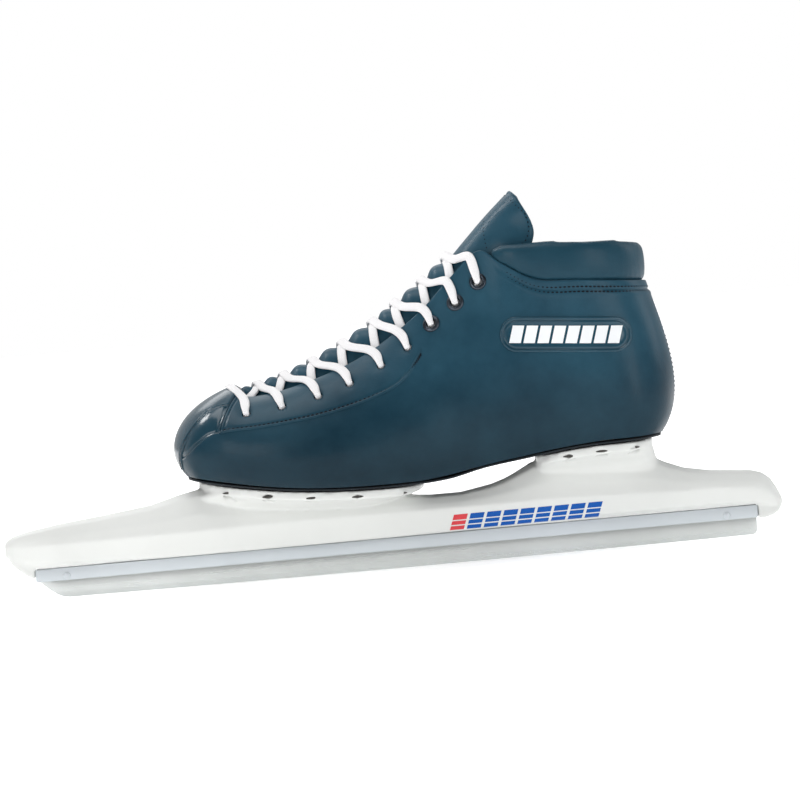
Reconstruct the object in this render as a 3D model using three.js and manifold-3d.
// A long-blade speed skate for the left foot: a low leather boot with a padded
// collar and nine lacing rows, screwed on a moulded chassis that holds a thin
// steel runner. Millimetres. X runs along the blade with the toe at -X, Y points
// to the inner side of the foot, Z is up, and the origin is the middle of the
// running edge of the blade.
import * as THREE from 'three';
import { mergeVertices } from 'three/addons/utils/BufferGeometryUtils.js';
import Module from 'manifold-3d';

const wasm = await Module();
wasm.setup();

// ---- driving dimensions -------------------------------------------------
const GAP = 0.3;
const LAYER_GAP = 0.8;
const PUFF_GAP = 1.3;

const BLADE_LENGTH = 404;
const BLADE_THICKNESS = 1.2;
const BLADE_CENTRE_X = 3;
const ROCKER_RADIUS = 22000;
const ROCKER_FACETS = 13;
const BLADE_TOP = 15.6;
const HOLDER_BOTTOM = 10.4;
const HOLDER_TOP = 17.4;
const HOLDER_WIDTH = 7;
const HOLDER_RIB_WIDTH = 2.6;
const HOLDER_RIB_HEIGHT = 5.5;
const HOLDER_FRONT = -199;
const HOLDER_BACK = 205;
const PIN_DIAMETER = 4;
const PIN_HEIGHT = 13;
const PIN_INSET = 17.5;
const PIN_CLEARANCE = 0.3;

const CHASSIS_LENGTH = 434;
const CHASSIS_FOOT_WIDTH = 8;
const FLANGE_THICKNESS = 4.6;
const FLANGE_TIP_THICKNESS = 3;
const FLANGE_INSET = 3;
const SCREW_HEAD_DIAMETER = 6;
const SCREW_HEAD_HEIGHT = 2;
const SCREW_DIAMETER = 3.2;
const SCREW_INSET = 6.4;
const SCREW_COVER = 2.2;
const SCREW_NOTCH_WIDTH = 6.4;
const SCREW_NOTCH_HEIGHT = 1.8;
const TOE_SCREWS_X = [-87, -65, -41, -16, 8];
const HEEL_SCREWS_X = [102, 120, 138];

const BOOT_LENGTH = 281;
const BOOT_WIDTH = 96;
const BOOT_HEIGHT = 125;
const OUTSOLE_THICKNESS = 2;
const OUTSOLE_INSET = 0.8;
const SOLE_ROUND = 6;
const INSOLE_THICKNESS = 1.6;
const INSOLE_INSET = 4.2;
const FOOTBED_THICKNESS = 3;
const FOOTBED_INSET = 7;
const LEATHER_THICKNESS = 2;
const STIFFENER_THICKNESS = 1.4;
const LINING_THICKNESS = 1;
const COLLAR_THICKNESS = 11;
const TONGUE_THICKNESS = 2.4;
const BADGE_LENGTH = 72;
const BADGE_HEIGHT = 19.5;
const BADGE_TURN = -5.2;
const BADGE_THICKNESS = 1;
const BADGE_SEAT = 0.45;
const LACE_DIAMETER = 2.2;
const LACE_CLEARANCE = 0.6;
const LACE_BOW = 2;
const LACE_STEPS = 180;
const HOLE_DIAMETER = 6.4;
const EYELET_OUTER = 11;
const EYELET_INNER = 6;
const EYELET_WALL = 0.6;
const EYELET_SEAT = 0.4;
const LACING_ROWS = 9;
const PLAIN_ROWS = 6;

// ---- small helpers ------------------------------------------------------
const lerp = (a, b, t) => a + (b - a) * t;
const clamp = (x, lo, hi) => Math.min(hi, Math.max(lo, x));
const degrees = Math.PI / 180;

// A smooth curve through rows of [position, value]. Level beyond its ends.
function graph(rows) {
  return (x) => {
    if (x <= rows[0][0]) return rows[0][1];
    if (x >= rows.at(-1)[0]) return rows.at(-1)[1];
    let i = 0;
    while (rows[i + 1][0] < x) i += 1;
    const slope = (a, b) => (rows[b][1] - rows[a][1]) / (rows[b][0] - rows[a][0]);
    const here = slope(i, i + 1);
    const before = i > 0 ? slope(i - 1, i) : here;
    const after = i + 2 < rows.length ? slope(i + 1, i + 2) : here;
    const flatten = (m) => (m * here <= 0 ? 0 : (m + here) / 2);
    const width = rows[i + 1][0] - rows[i][0];
    const t = (x - rows[i][0]) / width;
    const m0 = flatten(before) * width;
    const m1 = flatten(after) * width;
    const rise = rows[i + 1][1] - rows[i][1];
    return rows[i][1] + m0 * t + (3 * rise - 2 * m0 - m1) * t * t
      + (m0 + m1 - 2 * rise) * t * t * t;
  };
}

function geometryOf(positions, triangles) {
  const geometry = new THREE.BufferGeometry();
  geometry.setAttribute('position', new THREE.Float32BufferAttribute(positions, 3));
  geometry.setIndex(triangles);
  return geometry;
}

// Rings of points, each ring ordered the same way, joined into one closed body.
// The two end rings are closed with strips between facing points, so a ring of
// pairs with equal X stays flat across.
function loft(rings) {
  const count = rings[0].length;
  const positions = rings.flat().flatMap((p) => [p.x, p.y, p.z]);
  const triangles = [];
  for (let r = 0; r + 1 < rings.length; r += 1) {
    for (let i = 0; i < count; i += 1) {
      const a = r * count + i;
      const b = r * count + (i + 1) % count;
      triangles.push(a, b, a + count, b, b + count, a + count);
    }
  }
  const strip = (base, flip) => {
    for (let i = 0; i < count / 2 - 1; i += 1) {
      const j = count - 1 - i;
      const faces = [[i, j, i + 1], [i + 1, j, j - 1]];
      for (const [a, b, c] of faces) {
        if (a === b || b === c || a === c) continue;
        if (flip) triangles.push(base + a, base + c, base + b);
        else triangles.push(base + a, base + b, base + c);
      }
    }
  };
  strip(0, false);
  strip((rings.length - 1) * count, true);
  return outward(geometryOf(positions, triangles));
}

// Turns a closed geometry inside out when its faces point in.
function outward(geometry) {
  const p = geometry.getAttribute('position');
  const index = geometry.getIndex().array;
  const a = new THREE.Vector3();
  const b = new THREE.Vector3();
  const c = new THREE.Vector3();
  let volume = 0;
  for (let i = 0; i < index.length; i += 3) {
    a.fromBufferAttribute(p, index[i]);
    b.fromBufferAttribute(p, index[i + 1]);
    c.fromBufferAttribute(p, index[i + 2]);
    volume += a.dot(b.cross(c));
  }
  if (volume < 0) {
    for (let i = 0; i < index.length; i += 3) {
      [index[i + 1], index[i + 2]] = [index[i + 2], index[i + 1]];
    }
  }
  return geometry;
}

function toManifold(geometry) {
  let bare = geometry.clone();
  bare.deleteAttribute('normal');
  bare.deleteAttribute('uv');
  bare = mergeVertices(bare, 1e-4);
  return new wasm.Manifold(new wasm.Mesh({
    numProp: 3,
    vertProperties: new Float32Array(bare.getAttribute('position').array),
    triVerts: new Uint32Array(bare.getIndex().array),
  }));
}

function fromManifold(solid) {
  const mesh = solid.getMesh();
  return geometryOf(Array.from(mesh.vertProperties), Array.from(mesh.triVerts));
}

function cut(geometry, tools) {
  const whole = toManifold(geometry);
  return fromManifold(tools.reduce((left, tool) => left.subtract(toManifold(tool)), whole));
}

function join(geometries) {
  return fromManifold(geometries.map(toManifold).reduce((left, right) => left.add(right)));
}

// A round bar along a direction, through a centre.
function bar(diameter, length, sides, centre, direction) {
  const geometry = new THREE.CylinderGeometry(diameter / 2, diameter / 2, length, sides);
  const turn = new THREE.Quaternion().setFromUnitVectors(new THREE.Vector3(0, 1, 0), direction);
  geometry.applyQuaternion(turn);
  geometry.translate(centre.x, centre.y, centre.z);
  return geometry;
}

const FINISH = {
  plastic: new THREE.MeshStandardMaterial({ color: 0xe6e8e4, roughness: 0.42, metalness: 0 }),
  steel: new THREE.MeshStandardMaterial({ color: 0xd0d2d2, roughness: 0.25, metalness: 1 }),
  alloy: new THREE.MeshStandardMaterial({ color: 0xc4cbcf, roughness: 0.35, metalness: 0.4 }),
  screw: new THREE.MeshStandardMaterial({ color: 0x6b6b69, roughness: 0.4, metalness: 0.9 }),
  leather: new THREE.MeshStandardMaterial({ color: 0x1d3b52, roughness: 0.4, metalness: 0 }),
  sole: new THREE.MeshStandardMaterial({ color: 0x12181c, roughness: 0.7, metalness: 0 }),
  lining: new THREE.MeshStandardMaterial({ color: 0x8d8a84, roughness: 0.85, metalness: 0 }),
  lace: new THREE.MeshStandardMaterial({ color: 0xf1eded, roughness: 0.8, metalness: 0 }),
};

const skate = new THREE.Group();

function part(name, geometry, finish) {
  const mesh = new THREE.Mesh(geometry, FINISH[finish]);
  mesh.name = name;
  skate.add(mesh);
}

// ---- the boot's shape ---------------------------------------------------
// The ribs are drawn for a boot of these sizes and stretched to the real ones.
const DRAWN_LENGTH = 281;
const DRAWN_WIDTH = 96;
const DRAWN_HEIGHT = 125;
const LONG = BOOT_LENGTH / DRAWN_LENGTH;
const WIDE = BOOT_WIDTH / DRAWN_WIDTH;
const TALL = BOOT_HEIGHT / DRAWN_HEIGHT;

// Height of the underside of the outsole over the ice, along the drawn boot.
const soleLine = graph([
  [-112, 60], [-98, 57], [-85, 54.6], [-59, 50.6], [-39, 48.6], [-19, 47.4], [5, 46.8],
  [35, 48.2], [55, 52.4], [76, 55.2], [110, 59.2], [143, 60.2], [158, 61],
]);
const soleUnder = (x) => soleLine(x / LONG);
const FEATHER = OUTSOLE_THICKNESS + GAP;

// Rib stations from the toe centre round one side to the heel centre. Each is
// [x, y] of the feather edge, then [x, y, z] of two handles and of the top edge.
// Handle and top heights are measured from the ice on the drawn boot.
const RIBS = [
  [[-110.5, 0], [-121, 0, 76], [-115, 0, 98], [-81, 0, 108.5]],
  [[-104, 20], [-114, 27, 74], [-106, 26, 97], [-80, 6, 107.6]],
  [[-88, 31], [-95, 43, 70], [-88, 40, 94], [-77, 10.5, 105.8]],
  [[-66, 38], [-69, 52, 68], [-70, 42, 95], [-69, 13.5, 103]],
  [[-40, 41], [-41, 57, 66], [-46, 44, 98], [-45, 18, 107.2]],
  [[-8, 39.5], [-8, 57, 66], [-9, 44, 104], [-8, 21, 119.5]],
  [[24, 34], [24, 52, 70], [24, 40, 112], [24, 21.5, 140]],
  [[50, 31], [50, 47, 78], [48, 36, 130], [47, 21.5, 160.8]],
  [[66, 30], [66, 45, 80], [66, 36, 132], [62, 23, 172.6]],
  [[77, 30], [77, 43, 82], [78, 36, 130], [74, 29, 164.5]],
  [[93, 30.5], [93, 42, 84], [96, 33, 122], [92, 34, 154]],
  [[118, 32], [119, 43, 84], [120, 33, 118], [116, 36, 151.6]],
  [[140, 30], [145, 41, 84], [144, 29, 118], [138, 28, 149.6]],
  [[152, 19], [165, 27, 84], [157, 18, 118], [149.5, 15, 148.6]],
  [[156, 0], [174, 0, 86], [162, 0, 118], [154, 0, 148]],
];

// The sole's centre line swings to the inner side towards the toe.
const TOE_SWING = 5;
function swing(x) {
  const t = clamp((30 * LONG - x) / (140 * LONG), 0, 1);
  return TOE_SWING * WIDE * t * t * (3 - 2 * t);
}

function ribPoint(index, row) {
  const last = RIBS.length - 1;
  const mirrored = index < 0 || index > last;
  let i = index;
  if (index < 0) i = -index;
  if (index > last) i = 2 * last - index;
  const entry = RIBS[i][row];
  const x = entry[0] * LONG;
  const y = entry[1] * WIDE * (mirrored ? -1 : 1);
  const base = soleUnder(x) + FEATHER;
  const drawnBase = soleLine(entry[0]);
  const z = row === 0 ? base : soleUnder(x) + (entry[2] - drawnBase) * TALL;
  return new THREE.Vector3(x, y, z);
}

// Point on one side of the boot: s from toe centre (0) to heel centre (1), v from
// the feather edge (0) to the top edge (1). Y is measured outward.
function sidePoint(s, v) {
  const position = s * (RIBS.length - 1);
  const i = clamp(Math.floor(position), 0, RIBS.length - 2);
  const t = position - i;
  const weights = [
    (-t + 2 * t * t - t * t * t) / 2,
    (2 - 5 * t * t + 3 * t * t * t) / 2,
    (t + 4 * t * t - 3 * t * t * t) / 2,
    (-t * t + t * t * t) / 2,
  ];
  const u = 1 - v;
  const bezier = [u * u * u, 3 * u * u * v, 3 * u * v * v, v * v * v];
  const point = new THREE.Vector3();
  for (let row = 0; row < 4; row += 1) {
    for (let k = 0; k < 4; k += 1) {
      point.addScaledVector(ribPoint(i - 1 + k, row), weights[k] * bezier[row]);
    }
  }
  return point;
}

// q runs all round the boot: 0 toe centre, 1 heel centre by the outer side, and
// back to 2 by the inner side. The outer side of a left boot is at -Y.
function skinPoint(q, v) {
  const turn = ((q % 2) + 2) % 2;
  const point = turn <= 1 ? sidePoint(turn, v) : sidePoint(2 - turn, v);
  point.y = (turn <= 1 ? -point.y : point.y) + swing(point.x);
  return point;
}

function skinNormal(q, v) {
  const step = 0.004;
  const low = clamp(v, step, 1 - step);
  const along = skinPoint(q + step, low).sub(skinPoint(q - step, low));
  const up = skinPoint(q, low + step).sub(skinPoint(q, low - step));
  return along.cross(up).normalize();
}

function skin(q, v, offset) {
  return skinPoint(q, v).addScaledVector(skinNormal(q, v), offset);
}

// The (q, v) of the outer-side skin point seen at (x, z).
function locate(x, z, q0, v0) {
  let q = q0;
  let v = v0;
  for (let round = 0; round < 40; round += 1) {
    const here = skinPoint(q, v);
    const step = 0.002;
    const dq = skinPoint(q + step, v).sub(here).divideScalar(step);
    const dv = skinPoint(q, v + step).sub(here).divideScalar(step);
    const det = dq.x * dv.z - dq.z * dv.x;
    const ex = x - here.x;
    const ez = z - here.z;
    q = clamp(q + 0.7 * (ex * dv.z - ez * dv.x) / det, 0.01, 0.99);
    v = clamp(v + 0.7 * (dq.x * ez - dq.z * ex) / det, 0, 1);
  }
  return [q, v];
}

// A sheet of the skin between two offsets: columns at the listed q, v between two
// graphs of q.
function sheet(columns, lower, upper, rows, outer, inner) {
  const positions = [];
  const triangles = [];
  const last = columns.length - 1;
  for (const offset of [outer, inner]) {
    for (const q of columns) {
      for (let r = 0; r <= rows; r += 1) {
        const p = skin(q, lerp(lower(q), upper(q), r / rows), offset);
        positions.push(p.x, p.y, p.z);
      }
    }
  }
  const span = rows + 1;
  const half = (last + 1) * span;
  for (let c = 0; c < last; c += 1) {
    for (let r = 0; r < rows; r += 1) {
      const a = c * span + r;
      triangles.push(a, a + span, a + 1, a + 1, a + span, a + span + 1);
      triangles.push(half + a, half + a + 1, half + a + span);
      triangles.push(half + a + 1, half + a + span + 1, half + a + span);
    }
  }
  const rim = [];
  for (let c = 0; c < last; c += 1) rim.push(c * span);
  for (let r = 0; r < rows; r += 1) rim.push(last * span + r);
  for (let c = last; c > 0; c -= 1) rim.push(c * span + rows);
  for (let r = rows; r > 0; r -= 1) rim.push(r);
  rim.forEach((a, i) => {
    const b = rim[(i + 1) % rim.length];
    triangles.push(a, half + a, b, b, half + a, half + b);
  });
  return outward(geometryOf(positions, triangles));
}

// ---- seams between the upper's panels ------------------------------------
const LAST = RIBS.length - 1;
const STRIP_SIDE = 1.25 / LAST;
const CAP_BACK = 2 / LAST;
const VAMP_BACK = 6.08 / LAST;
const QUARTER_FRONT = 0.6 / LAST;
const COLLAR_FRONT = 8.9 / LAST;
const SEAM = 0.006;
const SEAM_TURN = 0.0015;

// Columns of the panels, in ribs from the toe centre to the heel centre.
const COLUMNS = [
  0, 0.25, 0.5, 0.6, 0.9, 1.25, 1.6, 2, 2.5, 3, 3.6, 4.3, 5, 5.5, 5.85, 6.08, 6.14,
  6.5, 7, 7.5, 8, 8.4, 8.7, 9, 9.4, 10, 10.7, 11.4, 12, 12.5, 13, 13.5, 14,
].map((rib) => rib / LAST);

// The columns from s0 to s1, with the two end ones drawn in by half a seam.
function columnsOf(s0, s1) {
  const inside = COLUMNS.filter((s) => s > s0 + SEAM && s < s1 - SEAM);
  return [s0 + SEAM_TURN, ...inside, s1 - SEAM_TURN];
}
const onInner = (columns) => columns.map((s) => 2 - s);

// Height, as a share of the rib, of the seam between quarter and vamp.
const seamLine = graph([
  [0.6, 0.2], [1.07, 0.28], [1.41, 0.409], [1.72, 0.513], [2.1, 0.559], [3.11, 0.592],
  [3.79, 0.604], [4.28, 0.607], [4.79, 0.62], [5.25, 0.634], [5.64, 0.656], [5.9, 0.699],
  [6.08, 0.742],
].map(([rib, v]) => [rib / LAST, v]));
const sideShare = (q) => (q <= 1 ? Math.abs(q) : 2 - q);
const level = (v) => () => v;
const TOP = level(0.998);
const aboveSeam = (q) => seamLine(sideShare(q)) + SEAM;
const belowSeam = (q) => (sideShare(q) > VAMP_BACK ? 0.998 : seamLine(sideShare(q)) - SEAM);

const EYELET_SPOTS = [
  [-73, 94], [-53, 96.6], [-32.6, 100.7], [-14.7, 106], [3.4, 114.2],
  [18.6, 123], [32.9, 134.6], [47.1, 145], [60.5, 155.4],
];
const ROWS = EYELET_SPOTS.map(([x, z]) => {
  const height = soleUnder(x * LONG) + (z - soleLine(x)) * TALL;
  return locate(x * LONG, height, lerp(0.2, 0.56, (x + 74) / 136), 0.8);
});

const holeTools = (rows, side, diameter) => rows.map(([q, v]) => {
  const turn = side > 0 ? 2 - q : q;
  const middle = skin(turn, v, -LEATHER_THICKNESS / 2);
  return bar(diameter, 5 * LEATHER_THICKNESS, 8, middle, skinNormal(turn, v));
});

const SIDES = [['outer', -1], ['inner', 1]];
const RING_HOLE_DIAMETER = EYELET_INNER + 2 * EYELET_WALL + 6 * GAP;
for (const [label, side] of SIDES) {
  const laid = (s0, s1) => (side > 0 ? onInner(columnsOf(s0, s1)) : columnsOf(s0, s1));
  const quarter = sheet(laid(QUARTER_FRONT, 1), level(0), belowSeam, 7, 0, -LEATHER_THICKNESS);
  const ringHoles = holeTools(ROWS.slice(PLAIN_ROWS), side, RING_HOLE_DIAMETER);
  part(`quarter_${label}`, cut(quarter, ringHoles), 'leather');
  const vamp = sheet(laid(CAP_BACK, VAMP_BACK), aboveSeam, TOP, 4, 0, -LEATHER_THICKNESS);
  const plainHoles = holeTools(ROWS.slice(0, PLAIN_ROWS), side, HOLE_DIAMETER);
  part(`vamp_${label}`, cut(vamp, plainHoles), 'leather');
  const cap = sheet(laid(STRIP_SIDE, CAP_BACK), aboveSeam, TOP, 6, 0, -LEATHER_THICKNESS);
  part(`toe_cap_${label}`, cap, 'leather');
}
function bothSides(columns) {
  return [...columns.filter((s) => s > 0).reverse().map((s) => -s), ...columns];
}
const stripHalf = COLUMNS.filter((s) => s < STRIP_SIDE - SEAM);
const stripColumns = bothSides([...stripHalf, STRIP_SIDE - SEAM_TURN]);
const stripLow = (q) => (sideShare(q) < QUARTER_FRONT - SEAM_TURN ? 0 : aboveSeam(q));
part('toe_strip', sheet(stripColumns, stripLow, TOP, 8, 0, -LEATHER_THICKNESS), 'leather');

// Stiffeners and lining lie inside the leather, one behind the other.
const stiffenerOuter = -LEATHER_THICKNESS - LAYER_GAP;
const stiffenerInner = stiffenerOuter - STIFFENER_THICKNESS;
const liningOuter = stiffenerInner - LAYER_GAP;
const puffColumns = bothSides(COLUMNS.filter((s) => s < 2.4 / LAST));
part('toe_puff', sheet(
  puffColumns, level(0.08), level(0.84), 7, stiffenerOuter - PUFF_GAP, stiffenerInner - PUFF_GAP,
), 'lining');
const roundHeel = (s0) => {
  const one = COLUMNS.filter((s) => s > s0);
  return [...one, ...onInner(one.slice(0, -1)).reverse()];
};
part('heel_counter', sheet(
  roundHeel(10.2 / LAST), level(0.06), level(0.4), 4, stiffenerOuter, stiffenerInner,
), 'lining');
part('lining', sheet(
  roundHeel(2.4 / LAST), level(0.1), level(0.52), 3, liningOuter, liningOuter - LINING_THICKNESS,
), 'lining');

// ---- soles --------------------------------------------------------------
const FEATHER_FRONT = skinPoint(0, 0).x;
const FEATHER_BACK = skinPoint(1, 0).x;

// Half the width of the feather edge at x.
function featherHalf(x) {
  if (x <= FEATHER_FRONT || x >= FEATHER_BACK) return 0;
  let low = 0;
  let high = 1;
  for (let round = 0; round < 30; round += 1) {
    const middle = (low + high) / 2;
    if (sidePoint(middle, 0).x < x) low = middle;
    else high = middle;
  }
  return sidePoint(low, 0).y;
}

// Half-width of the feather outline moved inward, with rounded ends at x0 and x1.
function plan(x0, x1, inset, frontRound, backRound) {
  return (x) => {
    const front = clamp((x - x0) / frontRound, 0, 1);
    const back = clamp((x1 - x) / backRound, 0, 1);
    const round = Math.sqrt(1 - (1 - front) ** 2) * Math.sqrt(1 - (1 - back) ** 2);
    return Math.max(featherHalf(x) - inset, 1) * round;
  };
}

// X stations closer together at both rounded ends.
function stations(x0, x1, count) {
  return Array.from({ length: count + 1 }, (_, i) => (
    lerp(x0, x1, (1 - Math.cos(Math.PI * i / count)) / 2)
  ));
}

// A ring round a plan outline: out along -Y, then back along +Y.
function planRing(xs, half, height) {
  const near = xs.map((x) => new THREE.Vector3(x, swing(x) - Math.max(half(x), 0.4), height(x)));
  const far = xs.map((x) => new THREE.Vector3(x, swing(x) + Math.max(half(x), 0.4), height(x)));
  return [...near, ...far.reverse()];
}

function soleLayer(inset, bottom, thickness, count) {
  const x0 = FEATHER_FRONT + inset;
  const x1 = FEATHER_BACK - inset;
  const xs = stations(x0, x1, count);
  const half = plan(x0, x1, inset, SOLE_ROUND, SOLE_ROUND);
  return loft([
    planRing(xs, half, (x) => soleUnder(x) + bottom),
    planRing(xs, half, (x) => soleUnder(x) + bottom + thickness),
  ]);
}

// The flanges under the sole. The toe one thins out towards its rear tip.
const TOE_FLANGE = {
  x0: -104 * LONG,
  x1: 21 * LONG,
  frontRound: 26 * LONG,
  backRound: 16 * LONG,
  thickness: graph([[12 * LONG, FLANGE_THICKNESS], [21 * LONG, FLANGE_TIP_THICKNESS]]),
};
const HEEL_FLANGE = {
  x0: 84 * LONG,
  x1: 150 * LONG,
  frontRound: 16 * LONG,
  backRound: 16 * LONG,
  thickness: () => FLANGE_THICKNESS,
};
function flangePlan({ x0, x1, frontRound, backRound }) {
  return plan(x0, x1, FLANGE_INSET, frontRound, backRound);
}
const screwSpots = [
  ...TOE_SCREWS_X.map((x) => ['toe', x * LONG, flangePlan(TOE_FLANGE)]),
  ...HEEL_SCREWS_X.map((x) => ['heel', x * LONG, flangePlan(HEEL_FLANGE)]),
];
const screwAxes = screwSpots.flatMap(([zone, x, half]) => SIDES.map(([label, side]) => {
  const y = swing(x) + side * (half(x) - SCREW_INSET);
  return { zone, label, side, centre: new THREE.Vector3(x, y, soleUnder(x)) };
}));
const ACROSS = new THREE.Vector3(0, 1, 0);
const UP = new THREE.Vector3(0, 0, 1);
const shankHoles = screwAxes.map(({ centre }) => bar(SCREW_DIAMETER + 2 * GAP, 30, 6, centre, UP));

part('outsole', cut(soleLayer(OUTSOLE_INSET, 0, OUTSOLE_THICKNESS, 22), shankHoles), 'sole');
const insoleBottom = OUTSOLE_THICKNESS + GAP;
part('insole_board', soleLayer(INSOLE_INSET, insoleBottom, INSOLE_THICKNESS, 20), 'lining');
const footbedBottom = insoleBottom + INSOLE_THICKNESS + GAP;
part('footbed', soleLayer(FOOTBED_INSET, footbedBottom, FOOTBED_THICKNESS, 20), 'lining');

// ---- chassis -------------------------------------------------------------
const DRAWN_CHASSIS = 434;
const RUN = CHASSIS_LENGTH / DRAWN_CHASSIS;
const NOSE_X = -214.8 * RUN;
const TAIL_X = 219.2 * RUN;

const chassisTop = graph([
  [-214.8, 33], [-213, 35.2], [-204.6, 38.2], [-194, 40.1], [-177, 42.4], [-143, 45.8],
  [-126, 48.6], [-114, 52.2], [-104, 54], [-96, 52.6], [-80, 47], [-50, 43.5], [-20, 42],
  [8, 41], [26, 39.2], [41, 39.2], [58, 42.1], [66, 44.6], [72.4, 47.5], [81.3, 52.2],
  [88, 53.6], [115, 52], [140, 50.5], [149, 49.5], [154, 46.6], [165, 41.9], [176, 39.6],
  [187, 37.9], [204, 36.6], [212.4, 32.7], [216.4, 26.5], [219.2, 20],
]);
const chassisBottom = graph([
  [-214.8, 29.6], [-211.8, 22.4], [-206.3, 16.8], [-200.8, 12], [-196, 10.6], [205, 9.6],
  [213, 10.9], [217.5, 14], [219.2, 17.5],
]);
const shoulderHalf = graph([
  [-214.8, 2.4], [-211, 5], [-203, 7.4], [-188, 9], [-160, 10.5], [-120, 12.5], [-80, 13.5],
  [0, 13], [40, 11.5], [100, 11.5], [150, 11], [190, 9.6], [206, 9], [214, 7], [219.2, 3],
]);
const shoulderHeight = graph([
  [-214.8, 31], [-205, 30.4], [-111, 30.8], [-60, 31.5], [40, 31], [100, 31], [160, 28.5],
  [205, 26.5], [219.2, 18.8],
]);

function chassisRing(x) {
  const drawn = x / RUN;
  const top = chassisTop(drawn);
  const shoulder = Math.min(shoulderHeight(drawn), top - 1);
  const wide = shoulderHalf(drawn);
  const bottom = Math.min(chassisBottom(drawn), shoulder - 0.8);
  const foot = Math.min(CHASSIS_FOOT_WIDTH / 2, wide * 0.8);
  const rise = top - shoulder;
  const half = [
    [wide * 0.24, top],
    [wide * 0.6, top - rise * 0.14],
    [wide * 0.88, shoulder + rise * 0.42],
    [wide, shoulder + 0.4],
    [wide - 0.5, shoulder - 0.9],
    [lerp(foot, wide, 0.42), lerp(bottom, shoulder, 0.55)],
    [foot, Math.min(HOLDER_TOP + 3, lerp(bottom, shoulder, 0.5))],
    [foot, bottom],
  ];
  const right = half.map(([y, z]) => new THREE.Vector3(x, y, z));
  const left = half.map(([y, z]) => new THREE.Vector3(x, -y, z)).reverse();
  return [...right, ...left];
}
const BODY_STATIONS = [
  -214.8, -213.4, -210, -204, -196, -184, -160, -132, -116, -104, -84, -44, 4, 24, 41, 58, 66,
  72.4, 81.3, 90, 140, 149, 156, 166, 180, 203, 209, 213.5, 216.8, 218.6, 219.2,
];

// A pedestal: rings from a root sunk in the chassis to a flange under the sole.
function pedestal(root, flange) {
  const count = 14;
  const rootXs = stations(root.x0, root.x1, count);
  const flangeXs = stations(flange.x0, flange.x1, count);
  const half = flangePlan(flange);
  const under = (x) => soleUnder(x) - GAP;
  const ring = (t, height) => {
    const flare = t ** 2.6;
    const reach = t ** 1.9;
    const near = [];
    const far = [];
    for (let i = 0; i <= count; i += 1) {
      const end = Math.sqrt(Math.max(0, 1 - ((2 * i) / count - 1) ** 6));
      const x = lerp(rootXs[i], flangeXs[i], reach);
      const y = Math.max(lerp(root.half * end, half(flangeXs[i]), flare), 0.4);
      const middle = swing(flangeXs[i]) * flare;
      near.push(new THREE.Vector3(x, middle - y, height(i)));
      far.push(new THREE.Vector3(x, middle + y, height(i)));
    }
    return [...near, ...far.reverse()];
  };
  const rootHeight = (i) => chassisTop(rootXs[i] / RUN) - root.sink;
  const edgeHeight = (i) => under(flangeXs[i]) - flange.thickness(flangeXs[i]);
  const levels = [0, 0.3, 0.52, 0.7, 0.84, 0.94, 1].map((t) => (
    ring(t, (i) => lerp(rootHeight(i), edgeHeight(i), t))
  ));
  return loft([...levels, ring(1, (i) => under(flangeXs[i]))]);
}
const toePedestal = pedestal({ x0: -111 * LONG, x1: -6 * LONG, half: 9, sink: 8 }, TOE_FLANGE);
const heelPedestal = pedestal({ x0: 84 * LONG, x1: 152 * LONG, half: 8.5, sink: 9 }, HEEL_FLANGE);
const holderLength = HOLDER_BACK - HOLDER_FRONT;
const holderMiddle = (HOLDER_BACK + HOLDER_FRONT) / 2;
const spaceLength = holderLength + 2 * GAP;
const holderSpace = new THREE.BoxGeometry(spaceLength, 5 * CHASSIS_FOOT_WIDTH, HOLDER_TOP + GAP);
holderSpace.translate(holderMiddle, 0, (HOLDER_TOP + GAP) / 2);
const ribSlot = new THREE.BoxGeometry(
  spaceLength, HOLDER_RIB_WIDTH + 2 * GAP, HOLDER_RIB_HEIGHT + 4 * GAP,
);
ribSlot.translate(holderMiddle, 0, HOLDER_TOP + HOLDER_RIB_HEIGHT / 2);
const pocketTop = -GAP - SCREW_COVER;
const pocketDepth = 14;
const pocketHoles = screwAxes.map(({ centre }) => {
  const middle = centre.clone().add(new THREE.Vector3(0, 0, pocketTop - pocketDepth / 2));
  return bar(SCREW_HEAD_DIAMETER + 2 * GAP, pocketDepth, 8, middle, UP);
});
// Each pocket opens to the side through an oval notch in the flange's rim.
const notches = screwAxes.map(({ side, centre }) => {
  const reach = SCREW_INSET + FLANGE_INSET;
  const notch = bar(1, reach, 8, new THREE.Vector3(), ACROSS);
  notch.scale(SCREW_NOTCH_WIDTH, 1, SCREW_NOTCH_HEIGHT);
  const drop = pocketTop - SCREW_NOTCH_HEIGHT / 2;
  notch.translate(centre.x, centre.y + side * reach / 2, centre.z + drop);
  return notch;
});
const chassisBody = loft(BODY_STATIONS.map((x) => chassisRing(x * RUN)));
part('chassis', cut(
  join([chassisBody, toePedestal, heelPedestal]),
  [holderSpace, ribSlot, ...shankHoles, ...pocketHoles, ...notches],
), 'plastic');

const screwTop = OUTSOLE_THICKNESS - 0.2;
const headTop = pocketTop - GAP;
const headBottom = headTop - SCREW_HEAD_HEIGHT;
const screwProfile = [
  [0, headBottom], [SCREW_HEAD_DIAMETER / 2 - 0.4, headBottom],
  [SCREW_HEAD_DIAMETER / 2, headBottom + 0.6], [SCREW_HEAD_DIAMETER / 2, headTop],
  [SCREW_DIAMETER / 2, headTop], [SCREW_DIAMETER / 2, screwTop], [0, screwTop],
].map(([r, z]) => new THREE.Vector2(r, z));
screwAxes.forEach(({ zone, label, centre }, i) => {
  const screw = new THREE.LatheGeometry(screwProfile, 6);
  screw.rotateX(Math.PI / 2);
  screw.translate(centre.x, centre.y, centre.z);
  const pair = Math.floor(i / 2) + 1;
  const number = zone === 'toe' ? pair : pair - TOE_SCREWS_X.length;
  part(`screw_${zone}_${label}_${number}`, screw, 'screw');
});

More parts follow.
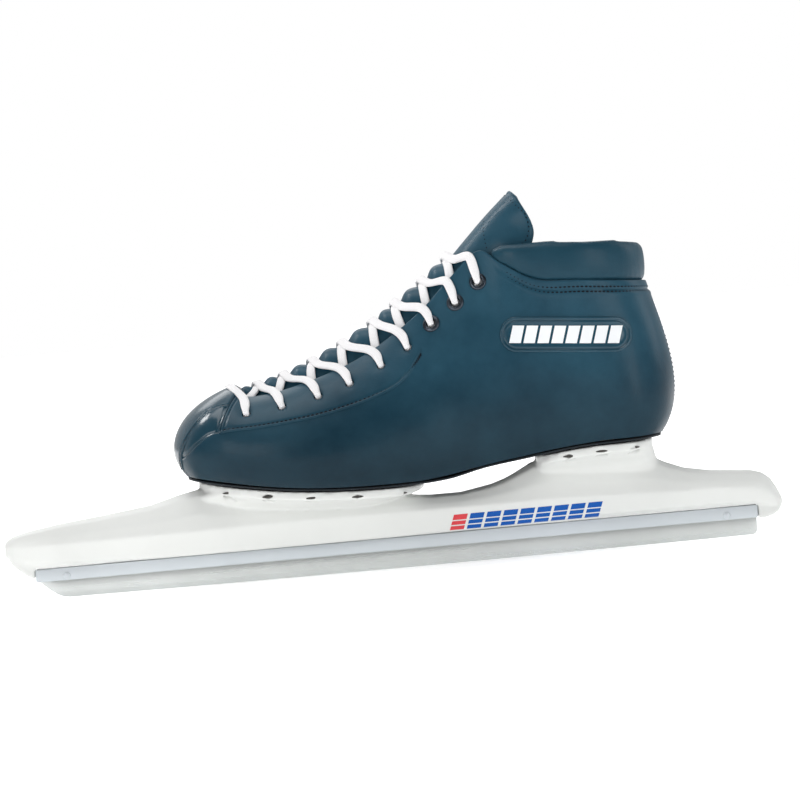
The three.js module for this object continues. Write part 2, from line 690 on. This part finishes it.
// ---- runner ----------------------------------------------------------------
const slotHalf = BLADE_THICKNESS / 2 + GAP;
const holderShape = new THREE.Shape([
  [-HOLDER_WIDTH / 2, HOLDER_BOTTOM], [-slotHalf, HOLDER_BOTTOM], [-slotHalf, BLADE_TOP + GAP],
  [slotHalf, BLADE_TOP + GAP], [slotHalf, HOLDER_BOTTOM], [HOLDER_WIDTH / 2, HOLDER_BOTTOM],
  [HOLDER_WIDTH / 2, HOLDER_TOP], [HOLDER_RIB_WIDTH / 2, HOLDER_TOP],
  [HOLDER_RIB_WIDTH / 2, HOLDER_TOP + HOLDER_RIB_HEIGHT],
  [-HOLDER_RIB_WIDTH / 2, HOLDER_TOP + HOLDER_RIB_HEIGHT],
  [-HOLDER_RIB_WIDTH / 2, HOLDER_TOP], [-HOLDER_WIDTH / 2, HOLDER_TOP],
].map(([y, z]) => new THREE.Vector2(y, z)));
const holder = new THREE.ExtrudeGeometry(holderShape, { depth: holderLength, bevelEnabled: false });
holder.rotateX(Math.PI / 2);
holder.rotateZ(Math.PI / 2);
holder.translate(HOLDER_FRONT, 0, 0);

const pinSpots = [HOLDER_FRONT + PIN_INSET, HOLDER_BACK - PIN_INSET]
  .map((x) => new THREE.Vector3(x, 0, PIN_HEIGHT));
const pinHoleDiameter = PIN_DIAMETER + 2 * PIN_CLEARANCE;
const pinHoles = pinSpots.map((spot) => bar(pinHoleDiameter, 2 * HOLDER_WIDTH, 12, spot, ACROSS));
part('blade_holder', cut(holder, pinHoles), 'alloy');

// The running edge is a very shallow arc whose middle facet lies on the ice.
const bladeFront = BLADE_CENTRE_X - BLADE_LENGTH / 2;
const bladeBack = BLADE_CENTRE_X + BLADE_LENGTH / 2;
const facet = (bladeBack - bladeFront - 25) / ROCKER_FACETS;
const rocker = (x) => Math.max(0, (x * x - (facet / 2) ** 2)) / (2 * ROCKER_RADIUS);
const edgePoints = [];
for (let i = 0; i <= ROCKER_FACETS; i += 1) {
  const x = (i - ROCKER_FACETS / 2) * facet;
  edgePoints.push([x, rocker(x)]);
}
const bladeShape = new THREE.Shape([
  [bladeBack - 1, BLADE_TOP], [bladeFront + 3, BLADE_TOP],
  [bladeFront + 1, HOLDER_BOTTOM + 0.6], [bladeFront + 3.6, 7.8], [bladeFront + 8.6, 3.9],
  ...edgePoints, [bladeBack - 1, 1.4],
].map(([x, z]) => new THREE.Vector2(x, z)));
const blade = new THREE.ExtrudeGeometry(bladeShape, { depth: BLADE_THICKNESS, bevelEnabled: false });
blade.rotateX(Math.PI / 2);
blade.translate(0, BLADE_THICKNESS / 2, 0);
part('blade', cut(blade, pinHoles), 'steel');
pinSpots.forEach((spot, i) => {
  const pin = bar(PIN_DIAMETER, HOLDER_WIDTH + 2 * GAP, 12, spot, ACROSS);
  part(`blade_pin_${i === 0 ? 'front' : 'back'}`, pin, 'screw');
});

// ---- collar ------------------------------------------------------------------
const COLLAR_COLUMNS = 30;
const COLLAR_POINTS = 10;
const collarTop = graph([[62, 175], [96, 175.2], [127, 173.2], [147, 171.6], [156, 169.6]]);
function collarRing(q, size) {
  const seam = skinPoint(q, 1);
  const normal = skinNormal(q, 1).setZ(0).normalize();
  const drawnX = seam.x / LONG;
  const top = soleUnder(seam.x) + (collarTop(drawnX) - soleLine(drawnX)) * TALL;
  const tall = (top - seam.z - GAP) / 2;
  const thick = Math.min(COLLAR_THICKNESS / 2, tall * 0.95);
  const centre = seam.clone().addScaledVector(normal, 1.2 - thick);
  centre.z = seam.z + GAP + tall;
  return Array.from({ length: COLLAR_POINTS }, (_, i) => {
    const angle = (2 * Math.PI * i) / COLLAR_POINTS + Math.PI / COLLAR_POINTS;
    const bulge = (value) => Math.sign(value) * Math.abs(value) ** 0.55;
    const point = centre.clone().addScaledVector(normal, thick * size * bulge(Math.cos(angle)));
    point.z += tall * size * bulge(Math.sin(angle));
    return point;
  });
}
const collarRings = [];
for (let i = 0; i <= COLLAR_COLUMNS; i += 1) {
  const q = lerp(COLLAR_FRONT, 2 - COLLAR_FRONT, i / COLLAR_COLUMNS);
  collarRings.push(collarRing(q, i === 0 || i === COLLAR_COLUMNS ? 0.55 : 1));
}
part('collar', loft(collarRings), 'leather');

// ---- tongue -------------------------------------------------------------------
// The crown line of the tongue, and the two half-axes of its section at each place.
const CROWN = [
  [-86, 101.5], [-78, 104], [-65, 107.6], [-50, 111.8], [-34, 118], [-16.5, 126.4], [1.5, 136.4],
  [15, 145.4], [31, 156.8], [45.6, 168.6], [54, 177], [68, 190.8], [83, 204.2],
].map(([x, z]) => new THREE.Vector3(x * LONG, 0, soleUnder(x * LONG) + (z - soleLine(x)) * TALL));
const crownCurve = new THREE.CatmullRomCurve3(CROWN, false, 'centripetal');
const tongueHalf = graph([
  [-86, 4.5], [-78, 7.5], [-65, 11], [-50, 14], [-34, 16], [-8, 17.6], [28, 18.2], [45, 18],
  [62, 20], [83, 22.5],
]);
const tongueDrop = graph([
  [-86, 6], [-65, 14], [-50, 16.5], [-34, 19], [-8, 21], [28, 21], [45, 22], [62, 27], [83, 31],
]);
const HINGE_SHARE = 0.772;

function tongueFrame(share) {
  const point = crownCurve.getPointAt(share);
  const tangent = crownCurve.getTangentAt(share);
  const down = new THREE.Vector3(tangent.z, 0, -tangent.x);
  return { point, down };
}
function tonguePoint(share, angle, offset) {
  const { point, down } = tongueFrame(share);
  const a = tongueHalf(point.x / LONG) * WIDE;
  const b = tongueDrop(point.x / LONG);
  const normal = new THREE.Vector3(0, Math.sin(angle) / a, 0)
    .addScaledVector(down, -Math.cos(angle) / b)
    .normalize();
  const y = a * Math.sin(angle);
  return new THREE.Vector3(point.x, y + swing(point.x), point.z)
    .addScaledVector(down, b * (1 - Math.cos(angle)))
    .addScaledVector(normal, offset);
}
function tongueSheet(share0, share1, columns, reach, rows) {
  const rings = [];
  for (let c = 0; c <= columns; c += 1) {
    const share = lerp(share0, share1, c / columns);
    const limit = reach(share);
    const outer = [];
    const inner = [];
    for (let r = 0; r <= rows; r += 1) {
      const angle = lerp(-limit, limit, r / rows);
      outer.push(tonguePoint(share, angle, 0));
      inner.push(tonguePoint(share, angle, -TONGUE_THICKNESS));
    }
    rings.push([...outer, ...inner.reverse()]);
  }
  return loft(rings);
}
// The two sheets meet at the fold line, with a slit of this share of the crown
// line on either side of it.
const FOLD_SLIT = 0.002;
const lowerReach = graph([[0, 60], [0.1, 70], [0.3, 78], [0.72, 78], [HINGE_SHARE, 50]]);
part('tongue_lower', tongueSheet(
  0, HINGE_SHARE - FOLD_SLIT, 16, (t) => lowerReach(t) * degrees, 8,
), 'leather');
const flapReach = graph([
  [HINGE_SHARE, 40], [0.84, 74], [0.9, 87], [0.955, 84], [0.985, 68], [1, 42],
]);
part('tongue_flap', tongueSheet(
  HINGE_SHARE + FOLD_SLIT, 1, 9, (t) => flapReach(t) * degrees, 8,
), 'leather');

// ---- badge ----------------------------------------------------------------------
const BADGE_X = 105.8;
const BADGE_Z = 122.1;
const badgeCentre = new THREE.Vector2(
  BADGE_X * LONG, soleUnder(BADGE_X * LONG) + (BADGE_Z - soleLine(BADGE_X)) * TALL,
);
function badgePoint(u, w, offset) {
  const place = new THREE.Vector2(u, w).rotateAround(new THREE.Vector2(), BADGE_TURN * degrees);
  place.add(badgeCentre);
  const [q, v] = locate(place.x, place.y, 10.5 / LAST, 0.7);
  return skin(q, v, offset);
}
function badgeRing(scale, offset) {
  const round = (BADGE_HEIGHT / 2) * scale;
  const straight = BADGE_LENGTH / 2 - BADGE_HEIGHT / 2;
  const near = [];
  const far = [];
  const ends = 6;
  for (let i = 0; i <= ends; i += 1) {
    const angle = (i / ends) * Math.PI / 2;
    const u = -straight - round * Math.cos(angle);
    near.push([u, -Math.max(round * Math.sin(angle), 0.5)]);
    far.push([u, Math.max(round * Math.sin(angle), 0.5)]);
  }
  for (let i = 1; i <= 4; i += 1) {
    const u = lerp(-straight, straight, i / 4);
    near.push([u, -round]);
    far.push([u, round]);
  }
  for (let i = 1; i <= ends; i += 1) {
    const angle = (i / ends) * Math.PI / 2;
    const u = straight + round * Math.sin(angle);
    near.push([u, -Math.max(round * Math.cos(angle), 0.5)]);
    far.push([u, Math.max(round * Math.cos(angle), 0.5)]);
  }
  return [...near, ...far.reverse()].map(([u, w]) => badgePoint(u, w, offset));
}
part('badge', loft([
  badgeRing(1, BADGE_SEAT), badgeRing(1, BADGE_THICKNESS), badgeRing(0.9, BADGE_THICKNESS + GAP),
]), 'leather');

// ---- eyelets --------------------------------------------------------------------
const eyeletBore = EYELET_INNER / 2;
const eyeletRim = EYELET_OUTER / 2;
const eyeletBack = -LEATHER_THICKNESS - EYELET_SEAT;
const eyeletProfile = [
  [eyeletBore, 0.9], [eyeletRim - 1, 1], [eyeletRim, EYELET_SEAT],
  [eyeletBore + EYELET_WALL, EYELET_SEAT], [eyeletBore + EYELET_WALL, eyeletBack],
  [eyeletRim - 1.2, eyeletBack], [eyeletRim - 1.4, eyeletBack - 0.5],
  [eyeletBore, eyeletBack - 0.4], [eyeletBore, 0.9],
].map(([r, z]) => new THREE.Vector2(r, z));
for (const [label, side] of SIDES) {
  ROWS.slice(PLAIN_ROWS).forEach(([q, v], i) => {
    const turn = side > 0 ? 2 - q : q;
    const eyelet = new THREE.LatheGeometry(eyeletProfile, 12);
    eyelet.applyQuaternion(new THREE.Quaternion().setFromUnitVectors(ACROSS, skinNormal(turn, v)));
    const place = skinPoint(turn, v);
    eyelet.translate(place.x, place.y, place.z);
    eyelet.deleteAttribute('normal');
    eyelet.deleteAttribute('uv');
    part(`eyelet_${label}_${PLAIN_ROWS + 1 + i}`, outward(mergeVertices(eyelet, 1e-4)), 'steel');
  });
}

// ---- lace -----------------------------------------------------------------------
// One lace: a bar over the throat at the first row, then each half goes in at its
// hole, comes out under the facing edge, crosses the tongue and enters the next
// hole of the other side from outside.
const laceRise = LACE_DIAMETER / 2 + LACE_CLEARANCE;
const crownX = [-80, -65.8, -50.8, -34, -16.5, 1.6, 15, 31, 45.6];
function crownShare(x) {
  let low = 0;
  let high = 1;
  for (let round = 0; round < 30; round += 1) {
    const middle = (low + high) / 2;
    if (crownCurve.getPointAt(middle).x < x) low = middle;
    else high = middle;
  }
  return low;
}
const turnOf = (q, side) => (side > 0 ? 2 - q : q);
// The facing edge beside a hole, a little towards the next row.
const edgeAt = (row) => ROWS[row][0] + 0.1 / LAST;

function holePoints(row, side) {
  const [q, v] = ROWS[row];
  const turn = turnOf(q, side);
  const offsets = [laceRise + 1.2, -LEATHER_THICKNESS / 2, -LEATHER_THICKNESS - laceRise - 0.7];
  return offsets.map((offset) => skin(turn, v, offset));
}
// Three points of a lace over the tongue: before, on and after the crown line.
function crossing(row, side, height) {
  const share = crownShare(crownX[row] * LONG);
  const step = 0.012;
  const beside = [-1, 1].map((way) => (
    tonguePoint(share + way * step, way * side * 34 * degrees, laceRise + 0.6 + height * 0.4)
  ));
  return [beside[0], tonguePoint(share, 0, laceRise + height), beside[1]];
}
// Points of one half from row 0 up, starting on the given side.
function halfLace(startSide, over) {
  const points = [];
  let side = startSide;
  for (let row = 0; row < LACING_ROWS; row += 1) {
    points.push(...holePoints(row, side));
    if (row === LACING_ROWS - 1) break;
    const turn = turnOf(edgeAt(row), side);
    points.push(skin(turn, 0.99, -LEATHER_THICKNESS - laceRise - 0.6));
    const height = (row % 2 === 0) === over ? LACE_DIAMETER + GAP : 0;
    points.push(...crossing(row + 1, -side, height));
    side = -side;
    const next = ROWS[row + 1];
    points.push(skin(turnOf(next[0] - 0.12 / LAST, side), 0.99, laceRise + 0.6));
    points.push(skin(turnOf(next[0] - 0.04 / LAST, side), lerp(next[1], 1, 0.35), laceRise + LACE_BOW));
  }
  return points;
}
const throat = crownShare(crownX[0] * LONG);
const barPoints = [-1, 1].map((side) => skin(turnOf(ROWS[0][0] - 0.2 / LAST, side), 0.93, laceRise));
const lacePoints = [
  ...halfLace(-1, false).reverse(), barPoints[0],
  tonguePoint(throat, 0, laceRise + 5.6), barPoints[1], ...halfLace(1, true),
];
const laceCurve = new THREE.CatmullRomCurve3(lacePoints, false, 'centripetal');
const laceSection = new THREE.Shape(Array.from({ length: 6 }, (_, i) => new THREE.Vector2(
  (LACE_DIAMETER / 2) * Math.cos((i * Math.PI) / 3), (LACE_DIAMETER / 2) * Math.sin((i * Math.PI) / 3),
)));
const lace = new THREE.ExtrudeGeometry(laceSection, { steps: LACE_STEPS, extrudePath: laceCurve });
part('lace', lace, 'lace');

export default skate;
